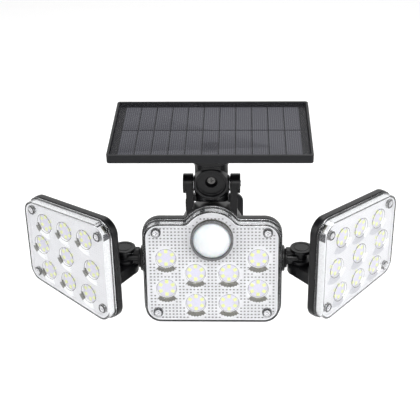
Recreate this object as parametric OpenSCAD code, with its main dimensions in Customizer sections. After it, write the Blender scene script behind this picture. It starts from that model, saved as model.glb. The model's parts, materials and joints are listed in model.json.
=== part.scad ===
// Motion sensor security light with three lamp heads and a solar panel.
// Lengths are in millimetres. X is the width, Y runs back to the wall and Z is up.
// The origin is the middle of the wall plate's back face.

/* [Pose] */
// Upward tilt of the main head
main_tilt = 6; // [0:1:12]
// Forward lean of the solar panel
panel_lean = 6; // [0:1:10]
// Outward turn of the left head
left_pan = 40; // [30:1:50]
// Outward turn of the right head
right_pan = 48.5; // [35:0.5:55]

/* [Solar panel] */
// Width of the panel
panel_w = 203; // [190:1:215]
// Length of the panel from front to back
panel_l = 112; // [104:1:120]
// Thickness of the panel
panel_t = 9; // [8:0.5:11]
// Radius of the panel's corners
panel_corner_r = 3; // [2:0.5:6]
// Width of the raised rim round the front sheet
panel_rim = 2.6; // [2:0.2:4]
// Depth of the rim above the front sheet
panel_rim_lip = 0.6; // [0.3:0.1:1]
// Thickness of the front sheet
panel_glass_t = 3; // [2:0.2:3.4]
// Thickness of a cell strip
cell_t = 0.5; // [0.3:0.1:0.8]
// Thickness of the backing board
backing_t = 1.6; // [1:0.2:2]
// Dark margin beside the cells, left and right
cell_side_margin = 10.5; // [8:0.5:14]
// Dark margin before and behind the cells
cell_end_margin = 4.6; // [4:0.2:8]
// Gap between cell strips
cell_gap = 1.1; // [0.6:0.1:1.6]
// Gap between the two rows
cell_row_gap = 1.6; // [1:0.1:2.4]
// Number of cell strips in a row
cell_cols = 11; // [9:1:13]
// How far the neck stands ahead of the panel's middle
neck_lead = 11.6; // [6:0.2:16]
// Height of the panel's top over the tilt axis
panel_rise = 60.5; // [58:0.5:66]

/* [Neck and knuckle] */
// Radius of the neck column
neck_r = 18; // [17:0.5:18.5]
// Radius of the round boss on the front of the neck
boss_r = 17.6; // [16:0.2:17.8]
// How far the boss stands out from the neck's middle
boss_reach = 19.6; // [19:0.2:22]
// Depth of the dished face of the boss
boss_dish = 4.4; // [0.8:0.2:5]
// Radius of the dished face of the boss
boss_dish_r = 15; // [11:0.2:15.5]
// Radius of the screw recess
boss_well_r = 6.2; // [5.4:0.2:8]
// Depth of the screw recess below the dished face
boss_well = 6.2; // [2:0.2:7]
// Height of the roll axis over the tilt axis
roll_h = 10.4; // [10:0.2:11]
// Thickness of the tongue in the neck's slot
tongue_t = 10; // [9:0.5:12]
// Radius of the round top of the tongue
tongue_r = 13; // [11:0.5:14]
// Running gap beside the tongue
tongue_gap = 0.25; // [0.1:0.05:0.4]
// Gap over the tongue inside the slot
slot_clear = 1.5; // [1:0.25:3]
// Radius of the round lower body of the block
stem_r = 17.3; // [16:0.1:17.6]
// Radius of the stem's rounded lower end about the tilt axis
stem_end_r = 19.4; // [18.5:0.1:19.8]
// Gap between the stem and the neck's round end
stem_gap = 0.8; // [0.5:0.1:1.2]
// Radius of the round dish under the panel
cup_r = 26; // [24:0.5:28]
// Height of the dish
cup_h = 14.6; // [12:0.2:16]
// Radius of the dish's fixing flange
cup_flange_r = 34; // [32:0.5:36]
// Thickness of the fixing flange
cup_flange_t = 3; // [2.5:0.25:4]
// Bevel on the dish's lower edge
cup_bevel = 2.4; // [1:0.2:3]

/* [Main head] */
// Width of the main housing
main_w = 148.6; // [144:0.2:152]
// Height of the main housing without the bump
main_h = 119.4; // [116:0.2:124]
// Radius of the main housing's corners
main_corner_r = 19; // [16:0.5:22]
// Radius of the bump over the sensor
bump_r = 33.9; // [32:0.1:35]
// Height of the bump's centre over the head's middle
bump_h = 40.6; // [38:0.2:42]
// Height of the sensor over the head's middle
sensor_h = 39.2; // [38:0.2:42]
// Radius of the hollow corner beside the bump
bump_fillet_r = 5; // [4:0.5:8]
// Sideways place of the cover screws
main_screw_x = 58.7; // [57:0.1:60]
// Height of the cover screws
main_screw_h = 46.8; // [45:0.1:48]
// Sideways place of the outer lens columns
main_col_outer = 48.9; // [47:0.1:50]
// Sideways place of the inner lens columns
main_col_inner = 17.8; // [16:0.1:19]
// Height of the highest lens in the outer columns
main_first_row = 17.3; // [16:0.1:19]
// Drop of the inner columns against the outer ones
main_col_drop = 17.5; // [17:0.1:20]
// Distance between lenses in a column
lens_pitch = 35.5; // [33:0.1:36]
// Outer radius of the sensor ring
ring_r = 22.6; // [21:0.1:23]
// Radius of the sensor dome
dome_r = 20.4; // [17.5:0.1:21]
// How far the sensor ring stands out
ring_reach = 2.4; // [2:0.2:4]
// How far the dome stands out of the face
dome_reach = 9; // [7:0.2:12]

/* [Side heads] */
// Width of a side housing
side_w = 132; // [128:0.5:136]
// Corner radius of a side housing
side_corner_r = 17; // [14:0.5:19]
// Half height between corner centres at the inner end
side_inner_half = 43.3; // [41:0.1:45]
// Half height between corner centres at the outer end
side_outer_half = 35; // [33:0.1:37]
// Sideways place of the cover screws
side_screw_x = 52.5; // [51:0.1:53.5]
// Height of the inner cover screws
side_screw_inner = 43.9; // [42:0.1:45]
// Height of the outer cover screws
side_screw_outer = 39.1; // [37:0.1:40]
// Sideways spacing of the upper and lower lens rows
side_col = 32; // [31:0.1:33]
// Sideways spacing of the middle lens row
side_mid_col = 40.6; // [39:0.1:42]
// Height of the upper lens row
side_row = 31.3; // [30:0.1:32]
// Fall of the upper row per length toward the outer end
side_row_fall_share = 0.0625; // [0:0.0025:0.08]

/* [Head shells] */
// Depth of a housing's rim from the cover's face
shell_d = 20.6; // [18.5:0.1:23]
// Front of the housing, behind the cover's face
shell_front = 11.5; // [11.3:0.1:12]
// Wall of a housing
shell_wall = 2.2; // [1.8:0.1:2.8]
// Thickness of a cover's face
face_t = 2; // [1.5:0.1:2.4]
// Thickness of a cover's side wall
cover_wall = 2.2; // [1.5:0.1:2.4]
// Step from the housing's rim in to the cover's wall
cover_step = 2.2; // [2:0.1:4.6]
// Front of the cover's flange
flange_front = 9; // [8.6:0.1:9.2]
// Thickness of the cover's flange
flange_t = 1.5; // [1.2:0.1:1.8]
// Step from the housing's rim in to the flange
flange_step = 0.4; // [0.3:0.1:2.2]
// Step from the housing's rim in to the gasket
gasket_step = 1.5; // [1.2:0.1:3.6]
// Width of the gasket
gasket_w = 2.6; // [2:0.1:3]
// Radius of a lens
lens_r = 11; // [10:0.1:11.4]
// Height of a lens behind the face
lens_t = 1.4; // [1:0.1:1.6]
// Depth of the LED faces behind the cover's face
led_front = 5; // [4.8:0.1:5.4]
// Height of an LED
led_t = 0.8; // [0.6:0.1:1]
// Width of an LED
led_w = 3.6; // [2.4:0.1:3.8]
// Length of an LED
led_l = 3.8; // [3:0.1:4]
// Radius of a cluster's ring of LEDs
led_ring_r = 7.4; // [6:0.1:7.8]
// LEDs in a cluster
led_count = 6; // [5:1:7]
// Thickness of an LED board
board_t = 1.6; // [1:0.2:2]
// Thickness of the reflector's floor
reflector_t = 1.1; // [0.8:0.1:1.2]
// Radius of the reflector's holes
reflector_hole_r = 10.4; // [9.2:0.1:10.8]
// Outer radius of the slots under the lenses
slot_outer_r = 16.6; // [14.2:0.1:17]
// Inner radius of the slots under the lenses
slot_inner_r = 11.2; // [10.8:0.1:12]
// Angle where the slots of the main and right heads begin
slot_start = 234; // [228:1:240]
// Angle where the slots of the main and right heads end
slot_end = 306; // [300:1:312]
// Angle where the slots of the left head begin
left_slot_start = 300; // [294:1:306]
// Angle where the slots of the left head end
left_slot_end = 345; // [336:1:348]
// Radius of a cover screw's head
screw_head_r = 3.6; // [3.2:0.1:3.8]
// Height of a cover screw's head
screw_head_t = 2.4; // [2:0.1:2.8]
// Radius of a cover screw's shank
screw_r = 1.5; // [1.3:0.1:1.7]
// Length of a cover screw's shank
screw_len = 14; // [12:0.5:15]
// Radius of the cover's screw tower
tower_r = 5; // [4.8:0.1:5.2]
// Depth of a cover screw's head below the cover's face
screw_sink = 0.5; // [0.2:0.1:1]
// Gap round a screw's head and round a tower
screw_gap = 0.3; // [0.2:0.05:0.4]
// Radius of the posts that carry an LED board
post_r = 3; // [2:0.5:4]
// Height of the ledge that carries the gasket
ledge_t = 2; // [1.4:0.2:3]

/* [Back of the main head] */
// Depth of the hump behind the face
hump_d = 34; // [33:0.5:36]
// Drop of the hump's lower end below the head's middle
hump_drop = 42; // [38:1:46]
// Inner face of an ear from the middle
ear_inner = 19.3; // [19.2:0.1:20]
// Thickness of an ear
ear_t = 7.3; // [6.5:0.1:8.5]
// Thickness of the round boss outside an ear
ear_boss_t = 3.3; // [2.8:0.1:4]
// Radius of an ear's round top
ear_r = 10.5; // [9.5:0.1:11]
// Depth of the tilt axis behind the face
tilt_d = 23; // [22:0.5:24]
// Height of the tilt axis over the head's middle
tilt_h = 94.7; // [94.5:0.1:97]
// Depth of the wall pivot behind the face
pivot_d = 48; // [47:0.5:50]
// Radius of the wall pivot's lugs
lug_r = 10; // [9:0.5:11]
// Thickness of a wall pivot lug
lug_t = 6; // [5:0.5:8]

/* [Arms] */
// Depth of the arms' axis behind the face
arm_d = 25.3; // [25:0.1:26]
// Height of the arms' axis over the head's middle
arm_h = 7.7; // [6:0.1:9]
// Outer radius of an arm socket
socket_r = 13.5; // [12.8:0.1:13.7]
// Radius of the flange at a socket's mouth
socket_flange_r = 14; // [13.8:0.1:14.6]
// How far a socket stands out of the housing's side
socket_reach = 3; // [2.4:0.1:3.4]
// Radius of an arm's spigot
spigot_r = 7; // [6.5:0.1:8]
// Length of an arm's spigot
spigot_len = 27; // [24:0.5:30]
// Distance from the middle to a hinge axis
hinge_x = 95.3; // [94.5:0.1:97]
// Radius of an arm's collar
collar_r = 10.4; // [9.6:0.1:11]
// Length of an arm's collar
collar_len = 2.2; // [1.8:0.1:2.4]
// Radius of an arm's round core
core_r = 5.6; // [5:0.1:6]
// Radius of an arm's lower round plate
plate_r = 12; // [11.4:0.1:12.6]
// Thickness of an arm's lower plate
plate_t = 4; // [3.4:0.1:4.6]
// Underside of an arm below its axis
arm_under = 3.7; // [3.4:0.1:4.2]
// Top of an arm over its axis
arm_top = 11.6; // [11:0.1:12.2]
// Thickness of an arm's top plate and rail
rail_t = 2.2; // [1.8:0.1:2.8]
// Radius of an arm's hinge barrel
barrel_r = 6.4; // [6:0.1:7.5]
// Radius of the round cap on a hinge
cap_r = 12.2; // [11.6:0.1:12.8]
// Thickness of the round cap
cap_t = 1.7; // [1.4:0.1:2.2]

/* [Side head mounting] */
// Distance from the hinge axis out to the middle of a side head
side_out = 42.4; // [41:0.1:44]
// Distance from the hinge axis to a side head's face
side_reach = 47.5; // [47:0.1:49]
// Height of a side head's middle over the arm's axis
side_rise = 5.4; // [4:0.1:7]
// Radius of the pod under a hinge
pod_r = 14.7; // [13.6:0.1:14.9]
// Height of the pod at the hinge
pod_h = 11.5; // [10:0.5:13]
// Extra height of the pod at the housing
pod_drop = 4; // [2:0.5:6]

/* [Wall bracket] */
// Width of the wall plate
wall_w = 66; // [62:1:76]
// Height of the wall plate
wall_h = 90; // [86:1:100]
// Thickness of the wall plate
wall_t = 4; // [3:0.5:6]
// Sideways distance between the wall screws
wall_pitch_x = 44; // [40:1:48]
// Upright distance between the wall screws
wall_pitch_z = 66; // [60:1:70]
// Radius of the wall screw holes
wall_hole_r = 2.5; // [2:0.1:3]
// Distance from the wall to the pivot
wall_reach = 64; // [62:1:72]
// Thickness of the bracket's arm
bracket_t = 16; // [14:0.5:18]
// Half height of the bracket's gusset at the plate
gusset_half = 27; // [24:1:30]
// Length of the gusset
gusset_len = 24; // [18:1:28]

/* [Bolts and fits] */
// Radius of the pivot bolts
bolt_r = 3; // [2.5:0.1:3.5]
// Radius of a bolt's head
bolt_head_r = 5.4; // [5:0.1:6]
// Height of a bolt's head
bolt_head_t = 2.8; // [2.4:0.1:3.2]
// Radius across the corners of a nut
nut_r = 5.6; // [5:0.1:6]
// Height of a nut
nut_t = 3; // [2.4:0.1:3.4]
// Radial clearance of running fits
run_gap = 0.05; // [0.02:0.01:0.1]
// Flat gap between pieces that turn on each other
turn_gap = 0.3; // [0.2:0.05:0.4]
// Gap between pieces laid into one another
seat_gap = 0.3; // [0.1:0.05:0.4]
// How far a bolt stands out of its nut
bolt_proud = 0.8; // [0.4:0.1:1.5]

/* [Inner parts] */
// Radius of the battery cell
cell_r = 9.2; // [9:0.1:9.3]
// Length of the battery cell
cell_len = 65; // [60:1:66]
// Radius of the mode button
button_r = 5; // [4:0.1:5.6]
// How far the mode button stands out
button_reach = 1.6; // [1.2:0.1:2]
// Travel of the mode button
button_travel = 1; // [0.6:0.1:1.2]

/* [Hidden] */

// Overrun of a cut past the face it opens
over = 1;
// Segments of large and small circles
fine = 96;
small = 48;

main_corner_x = main_w / 2 - main_corner_r;
main_corner_h = main_h / 2 - main_corner_r;
main_corners = [[-main_corner_x, -main_corner_h], [main_corner_x, -main_corner_h],
    [main_corner_x, main_corner_h], [-main_corner_x, main_corner_h]];
side_corner_x = side_w / 2 - side_corner_r;
side_corners = [[-side_corner_x, -side_inner_half], [side_corner_x, -side_outer_half],
    [side_corner_x, side_outer_half], [-side_corner_x, side_inner_half]];
main_screws = [for (x = [-main_screw_x, main_screw_x], h = [-main_screw_h, main_screw_h]) [x, h]];
side_screws = [[-side_screw_x, side_screw_inner], [-side_screw_x, -side_screw_inner],
    [side_screw_x, side_screw_outer], [side_screw_x, -side_screw_outer]];
main_lenses = [for (s = [-1, 1], row = [0, 1], inner = [0, 1])
    [s * (inner == 1 ? main_col_inner : main_col_outer),
    main_first_row - inner * main_col_drop - row * lens_pitch]];
side_lenses = [for (row = [-1, 0, 1], col = [-1, 0, 1])
    let (x = col * (row == 0 ? side_mid_col : side_col)) [x, row * (side_row - side_row_fall_share * x)]];

// Depths of the pieces inside a head
board_front = led_front + led_t;
reflector_front = board_front - reflector_t;
boss_front = board_front + board_t;
shell_floor = shell_d - shell_wall;
screw_seat = screw_sink + screw_head_t;
screw_end = screw_seat + screw_len;
well_r = screw_head_r + screw_gap;
// Places of the LED board's posts as shares of the cover screws' places
post_share = 0.82;

// Sockets and arms
side_face = main_w / 2;
socket_x = side_face + socket_reach;
spigot_x = socket_x - spigot_len;
socket_end_t = 4;
screw_well_r = spigot_r + shell_wall;
arm_screw_r = 2;
arm_screw_head_r = 4;
arm_washer_r = 6.4;
arm_washer_t = 1;
arm_screw_grip = 14;
collar_x = socket_x + turn_gap;
core_x = collar_x + collar_len;
under_x = hinge_x - pod_r - turn_gap;
rail_half = 4;
lower_rail_half = 7;
web_half = 1.6;

// Knuckle and neck
cup_low = panel_rise - panel_t - cup_flange_t - cup_h;
cup_top = panel_rise - panel_t;
neck_low = roll_h - neck_r;
tongue_half = ear_inner - 1.1;
tongue_low = neck_low - stem_gap;
shoulder_h = 8;
washer_r = 8;
washer_gap = 0.05;
washer_t = ear_inner - tongue_half - 2 * washer_gap;
roll_screw_r = 2.5;
roll_head_r = 4.3;
roll_head_t = 2.6;
roll_nut_r = 4.9;
roll_nut_t = 3.2;
neck_screw_pcd_r = (cup_r + cup_flange_r) / 2;
neck_screw_r = 1.5;
neck_screw_head_r = 2.8;
neck_screw_head_t = 2;
neck_screw_grip = 2.6;
panel_floor = panel_t - panel_rim_lip - panel_glass_t - cell_t - backing_t;

// Hump, ears and wall pivot
ear_outer = ear_inner + ear_t;
ear_end = ear_outer + ear_boss_t;
leg_low = main_h / 2 - main_corner_r / 2;
lug_inner = bracket_t / 2 + turn_gap;
lug_outer = lug_inner + lug_t;
pod_top = arm_under + turn_gap;
rear_y = side_reach - shell_d;

// Inner parts of the main head
sensor_can_r = 4.6;
sensor_can_t = 4.2;
sensor_flange_r = 5;
sensor_flange_t = 0.6;
control_w = 30;
control_h = 44;
control_t = 1.6;
control_x = 11;
control_mid_h = -16;
control_d = 15;
standoff_r = 2;
chip_w = 9;
chip_t = 1.6;
cap_can_r = 4;
cap_can_t = 5;
plug_w = 8;
plug_h = 6;
plug_t = 4;
battery_x = -18;
battery_mid_h = 10;
cradle_wall = 1.6;
cradle_len = 54;
button_x = 17;
button_mid_h = -28;
button_flange_r = 6.6;
button_flange_t = 1.4;
button_gap = 0.08;
button_set = 0.3;
switch_w = 6.2;
switch_t = 3.4;
switch_stem_r = 1.7;
switch_stem_t = 0.9;

// Shapes used by several pieces

function unit(v) = v / norm(v);
function outward(a, b) = let (u = unit(b - a)) [u[1], -u[0]];
function tangents(c, r) = [for (i = [0 : len(c) - 1], e = [0, 1])
    let (j = (i + 1) % len(c)) (e == 0 ? c[i] : c[j]) + r * outward(c[i], c[j])];

// Outline of four corner circles and the straight sides that touch them
module rounded(c, r) {
    polygon(tangents(c, r));
    for (p = c) translate(p) circle(r = r, $fn = fine);
}

// Hollow corner between the top edge and the bump, for an outline grown by t
module bump_corner(t) {
    top = main_h / 2 + t;
    fr = bump_fillet_r - t;
    rise = top + fr - bump_h;
    fx = sqrt((bump_r + t + fr) * (bump_r + t + fr) - rise * rise);
    touch = [0, bump_h] + (bump_r + t) * unit([fx, rise]);
    inner_x = touch[0] - bump_fillet_r;
    difference() {
        polygon([[inner_x, top - over], [fx, top - over], [fx, top], touch, [inner_x, touch[1] - over]]);
        translate([fx, top + fr]) circle(r = fr, $fn = fine);
    }
}

// Outline of the main head or of a side head, grown by t
module outline(kind, t) {
    if (kind == "main") {
        rounded(main_corners, main_corner_r + t);
        translate([0, bump_h]) circle(r = bump_r + t, $fn = fine);
        bump_corner(t);
        mirror([1, 0]) bump_corner(t);
    } else rounded(side_corners, side_corner_r + t);
}

// Sweeps a flat outline of width and height through the depths d0 to d1
module depth(d0, d1) translate([0, d1, 0]) rotate([90, 0, 0]) linear_extrude(height = d1 - d0) children();
module rod_y(r, d0, d1) translate([0, d1, 0]) rotate([90, 0, 0]) cylinder(r = r, h = d1 - d0, $fn = small);
module rod_x(r, x0, x1) translate([x0, 0, 0]) rotate([0, 90, 0]) cylinder(r = r, h = x1 - x0, $fn = small);
module rod_z(r, z0, z1) translate([0, 0, z0]) cylinder(r = r, h = z1 - z0, $fn = small);
module block(x0, x1, y0, y1, z0, z1) translate([x0, y0, z0]) cube([x1 - x0, y1 - y0, z1 - z0]);
module at(points) for (p = points) translate([p[0], 0, p[1]]) children();

// Places, each in the frame of the piece that carries it
module in_main() translate([0, -wall_reach, 0]) rotate([-main_tilt, 0, 0])
    translate([0, -pivot_d, 0]) children();
module in_knuckle() in_main() translate([0, tilt_d, tilt_h])
    rotate([main_tilt + panel_lean, 0, 0]) children();
module in_panel() in_knuckle() translate([0, neck_lead, panel_rise]) children();
module in_arm(s) in_main() translate([0, arm_d, arm_h]) rotate([main_tilt, 0, 0])
    mirror([s < 0 ? 1 : 0, 0, 0]) children();
module in_side(s) in_arm(s) translate([hinge_x, 0, 0])
    rotate([0, 0, s < 0 ? left_pan : right_pan]) children();
module in_face(s) in_side(s) translate([side_out, -side_reach, side_rise]) children();

// Head shells, drawn with the cover's face at depth zero

function screws_of(kind) = kind == "main" ? main_screws : side_screws;
function lenses_of(kind) = kind == "main" ? main_lenses : side_lenses;

module cover(kind) {
    difference() {
        union() {
            depth(0, face_t) outline(kind, -cover_step);
            difference() {
                union() {
                    depth(0, flange_front + flange_t) outline(kind, -cover_step);
                    depth(flange_front, flange_front + flange_t) outline(kind, -flange_step);
                }
                depth(face_t, flange_front + flange_t + over) outline(kind, -cover_step - cover_wall);
            }
            at(lenses_of(kind)) rod_y(lens_r, face_t, face_t + lens_t);
            at(screws_of(kind)) rod_y(tower_r, face_t, boss_front);
        }
        at(screws_of(kind)) rod_y(well_r, -over, screw_seat);
        at(screws_of(kind)) rod_y(screw_r + run_gap, 0, boss_front + over);
        if (kind == "main") at([[0, sensor_h]]) rod_y(dome_r + cover_wall / 2, -over, face_t + over);
    }
}

module gasket(kind) {
    difference() {
        depth(flange_front + flange_t, shell_front) outline(kind, -gasket_step);
        depth(flange_front + flange_t - over, shell_front + over) outline(kind, -gasket_step - gasket_w);
    }
}

// Sector of a ring under a lens, between two angles
module slot(a0, a1) {
    far = slot_outer_r * 2;
    difference() {
        intersection() {
            circle(r = slot_outer_r, $fn = small);
            polygon([[0, 0], for (a = [a0, (a0 + a1) / 2, a1]) far * [cos(a), sin(a)]]);
        }
        circle(r = slot_inner_r, $fn = small);
    }
}

module reflector(kind, a0, a1) {
    difference() {
        depth(face_t + seat_gap, board_front) outline(kind, -cover_step - cover_wall - seat_gap);
        depth(face_t, reflector_front) outline(kind, -cover_step - cover_wall - seat_gap - reflector_t);
        at(lenses_of(kind)) rod_y(reflector_hole_r, reflector_front - over, board_front + over);
        at(lenses_of(kind)) depth(reflector_front - over, board_front + over) slot(a0, a1);
        at(screws_of(kind)) rod_y(tower_r + screw_gap, face_t, board_front + over);
        if (kind == "main") at([[0, sensor_h]]) rod_y(ring_r, face_t, board_front + over);
    }
}

module led_board(kind) {
    difference() {
        depth(board_front, boss_front) outline(kind, -cover_step - cover_wall - seat_gap);
        at(screws_of(kind)) rod_y(tower_r + screw_gap, board_front - over, boss_front + over);
    }
}

module leds(kind) {
    at(lenses_of(kind)) for (k = [0 : led_count - 1]) rotate([0, -k * 360 / led_count, 0])
        block(-led_w / 2, led_w / 2, led_front, board_front, led_ring_r - led_l / 2, led_ring_r + led_l / 2);
}

module cover_screws(kind) {
    at(screws_of(kind)) {
        difference() {
            rod_y(screw_head_r, screw_sink, screw_seat);
            arm = screw_head_r * 0.6;
            slit = screw_head_r / 10;
            block(-arm, arm, screw_sink - over, screw_seat - screw_head_t / 2, -slit, slit);
            block(-slit, slit, screw_sink - over, screw_seat - screw_head_t / 2, -arm, arm);
        }
        rod_y(screw_r, screw_seat, screw_end);
    }
}

// Room inside a housing, with the ledge for the gasket left standing
module room(kind) {
    depth(shell_front - over, shell_floor) outline(kind, -gasket_step - gasket_w);
    depth(shell_front + ledge_t, shell_floor) outline(kind, -shell_wall);
}

// Screw bosses and the posts that carry the LED board
module bosses(kind) {
    at(screws_of(kind)) rod_y(tower_r, boss_front, shell_floor + over / 2);
    at(post_share * screws_of(kind)) rod_y(post_r, boss_front, shell_floor + over / 2);
}

module boss_holes(kind) at(screws_of(kind)) rod_y(screw_r, boss_front - over, screw_end);

// Wall bracket

module wall_bracket() color([0.06, 0.06, 0.07]) {
    half = bracket_t / 2;
    plate_x = wall_w / 2 - lug_r;
    plate_z = wall_h / 2 - lug_r;
    screw_places = [for (x = [-1, 1], z = [-1, 1]) [x * wall_pitch_x / 2, z * wall_pitch_z / 2]];
    difference() {
        union() {
            depth(-wall_t, 0) rounded([[-plate_x, -plate_z], [plate_x, -plate_z], [plate_x, plate_z],
                [-plate_x, plate_z]], lug_r);
            translate([-half, 0, 0]) rotate([90, 0, 90]) linear_extrude(height = bracket_t) polygon([
                [-wall_t / 2, -gusset_half], [-wall_t / 2, gusset_half], [-wall_t, gusset_half],
                [-wall_t - gusset_len, lug_r], [-wall_reach, lug_r], [-wall_reach, -lug_r],
                [-wall_t - gusset_len, -lug_r], [-wall_t, -gusset_half]]);
            translate([0, -wall_reach, 0]) rod_x(lug_r, -half, half);
        }
        translate([0, -wall_reach, 0]) rod_x(bolt_r + run_gap, -half - over, half + over);
        at(screw_places) rod_y(wall_hole_r, -wall_t - over, over);
    }
}

// Bolt along X with its head's seat at the left and its nut's seat at the right
module cross_bolt(head_seat, nut_seat) {
    rod_x(bolt_r, -head_seat - bolt_head_t / 4, nut_seat + nut_t + bolt_proud);
    difference() {
        rod_x(bolt_head_r, -head_seat - bolt_head_t, -head_seat);
        arm = bolt_head_r * 0.6;
        slit = bolt_head_r / 10;
        block(-head_seat - bolt_head_t - over, -head_seat - bolt_head_t / 2, -arm, arm, -slit, slit);
        block(-head_seat - bolt_head_t - over, -head_seat - bolt_head_t / 2, -slit, slit, -arm, arm);
    }
}

module cross_nut(seat) difference() {
    translate([seat, 0, 0]) rotate([0, 90, 0]) cylinder(r = nut_r, h = nut_t, $fn = 6);
    rod_x(bolt_r, seat - over, seat + nut_t + over);
}

module wall_pivot_bolt() color([0.7, 0.7, 0.72]) in_main() translate([0, pivot_d, 0])
    cross_bolt(lug_outer, lug_outer);
module wall_pivot_nut() color([0.7, 0.7, 0.72]) in_main() translate([0, pivot_d, 0])
    cross_nut(lug_outer);

// Main head

module hump_outline(t) {
    corner = main_corner_r / 2;
    translate([0, bump_h]) circle(r = bump_r + t, $fn = fine);
    rounded([[-bump_r + corner, -hump_drop + corner], [bump_r - corner, -hump_drop + corner],
        [bump_r - corner, bump_h - corner], [-bump_r + corner, bump_h - corner]], corner + t);
    polygon([[-bump_r - t, 0], [bump_r + t, 0], [bump_r + t, bump_h], [-bump_r - t, bump_h]]);
}

module ears() {
    for (s = [-1, 1]) {
        x0 = s < 0 ? -ear_outer : ear_inner;
        x1 = s < 0 ? -ear_inner : ear_outer;
        translate([0, tilt_d, tilt_h]) rod_x(ear_r, x0, x1);
        translate([0, tilt_d, tilt_h])
            rod_x(ear_r, s < 0 ? -ear_end : ear_outer, s < 0 ? -ear_outer : ear_end);
        block(x0, x1, tilt_d - ear_r, tilt_d + ear_r, leg_low, tilt_h);
    }
}

// Tubes for the arms, with a flange at each mouth
module sockets() for (s = [-1, 1]) translate([0, arm_d, arm_h]) {
    rod_x(socket_r, s < 0 ? -socket_x : bump_r / 2, s < 0 ? -bump_r / 2 : socket_x);
    rod_x(socket_flange_r, s < 0 ? -socket_x : side_face, s < 0 ? -side_face : socket_x);
}

module lugs() for (s = [-1, 1]) translate([0, pivot_d, 0]) {
    x0 = s < 0 ? -lug_outer : lug_inner;
    x1 = s < 0 ? -lug_inner : lug_outer;
    rod_x(lug_r, x0, x1);
    block(x0, x1, hump_d - pivot_d - shell_wall / 2, 0, -lug_r, lug_r);
}

module main_housing() color([0.05, 0.05, 0.06]) in_main() difference() {
    union() {
        difference() {
            union() {
                depth(shell_front, shell_d) outline("main", 0);
                depth(shell_floor, hump_d) hump_outline(0);
                ears();
            }
            room("main");
            depth(shell_front, hump_d - shell_wall) hump_outline(-shell_wall);
        }
        difference() {
            union() {
                sockets();
                lugs();
            }
            depth(shell_front, hump_d - shell_wall) hump_outline(-shell_wall);
        }
        bosses("main");
    }
    for (s = [-1, 1]) translate([0, arm_d, arm_h]) {
        rod_x(spigot_r + run_gap, s < 0 ? -socket_x - over : spigot_x, s < 0 ? -spigot_x : socket_x + over);
        well_end = spigot_x - socket_end_t;
        well_start = bump_r / 3;
        rod_x(screw_well_r, s < 0 ? -well_end : well_start, s < 0 ? -well_start : well_end);
        hole_end = spigot_x + over;
        rod_x(arm_screw_r + run_gap, s < 0 ? -hole_end : well_start, s < 0 ? -well_start : hole_end);
    }
    translate([0, tilt_d, tilt_h]) {
        rod_x(bolt_r, -ear_end - over, ear_end + over);
        rod_x(bolt_head_r + run_gap, -ear_end - over, -ear_end + bolt_head_t);
        rod_x(nut_r + run_gap, ear_end - nut_t, ear_end + over);
    }
    translate([0, pivot_d, 0]) rod_x(bolt_r, -lug_outer - over, lug_outer + over);
    translate([button_x, 0, button_mid_h])
        rod_y(button_r + button_gap, hump_d - shell_wall - over, hump_d + over);
    boss_holes("main");
}

module main_gasket() color([0.02, 0.02, 0.02]) in_main() gasket("main");
module main_cover() color([0.9, 0.92, 0.95, 0.4]) in_main() cover("main");
module main_reflector() color([0.95, 0.95, 0.95]) in_main() reflector("main", slot_start, slot_end);
module main_led_board() color([0.35, 0.36, 0.3]) in_main() led_board("main");
module main_leds() color([0.9, 0.92, 0.55]) in_main() leds("main");
module main_cover_screws() color([0.7, 0.7, 0.72]) in_main() cover_screws("main");

module sensor_ring() color([0.25, 0.25, 0.26]) in_main() at([[0, sensor_h]]) difference() {
    union() {
        rod_y(ring_r, -ring_reach, 0);
        rod_y(dome_r + cover_wall / 2, -ring_reach, reflector_front);
    }
    rod_y(dome_r - cover_wall / 2, -ring_reach - over, reflector_front + over);
    rod_y(dome_r, -ring_reach - over, face_t / 2);
}

// Thin spherical cap; its rim rests on the ledge inside the ring
module sensor_dome() color([0.95, 0.95, 0.97, 0.9]) in_main() at([[0, sensor_h]]) {
    rim = face_t / 2;
    rise = dome_reach + rim;
    ball_r = (dome_r * dome_r + rise * rise) / (2 * rise);
    skin = face_t * 0.7;
    difference() {
        intersection() {
            translate([0, ball_r - dome_reach, 0]) sphere(r = ball_r, $fn = fine);
            rod_y(dome_r, -dome_reach - over, rim);
        }
        translate([0, ball_r - dome_reach, 0]) sphere(r = ball_r - skin, $fn = fine);
    }
}

module sensor_element() color([0.75, 0.75, 0.76]) in_main() at([[0, sensor_h]]) {
    rod_y(sensor_flange_r, board_front - sensor_flange_t, board_front);
    difference() {
        rod_y(sensor_can_r, board_front - sensor_can_t, board_front - sensor_flange_t);
        pane = sensor_can_r * 0.4;
        can_front = board_front - sensor_can_t;
        block(-pane, pane, can_front - over, can_front + sensor_flange_t / 2, -pane, pane);
    }
}

module in_control() in_main() translate([control_x, 0, control_mid_h]) children();

module control_board() color([0.1, 0.35, 0.2]) in_control() {
    block(-control_w / 2, control_w / 2, control_d - control_t, control_d, -control_h / 2, control_h / 2);
    leg_x = control_w / 2 - standoff_r;
    leg_h = control_h / 2 - standoff_r;
    for (x = [-1, 1], h = [-1, 1]) translate([x * leg_x, 0, h * leg_h])
        rod_y(standoff_r, boss_front, control_d - control_t);
}

module control_parts() color([0.1, 0.1, 0.11]) in_control() {
    front = control_d - control_t;
    block(-chip_w / 2, chip_w / 2, front - chip_t, front, -chip_w / 2, chip_w / 2);
    translate([0, 0, chip_w + cap_can_r]) rod_y(cap_can_r, front - cap_can_t, front);
    block(-plug_w / 2, plug_w / 2, front - plug_t, front, -chip_w - plug_h, -chip_w);
}

module battery_cell() color([0.2, 0.45, 0.7]) in_main() {
    mid_d = hump_d - shell_wall - cradle_wall - cell_r;
    translate([battery_x, mid_d, battery_mid_h]) {
        rod_z(cell_r, -cell_len / 2, cell_len / 2);
        rod_z(cell_r / 3, cell_len / 2, cell_len / 2 + cradle_wall / 2);
    }
}

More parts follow.
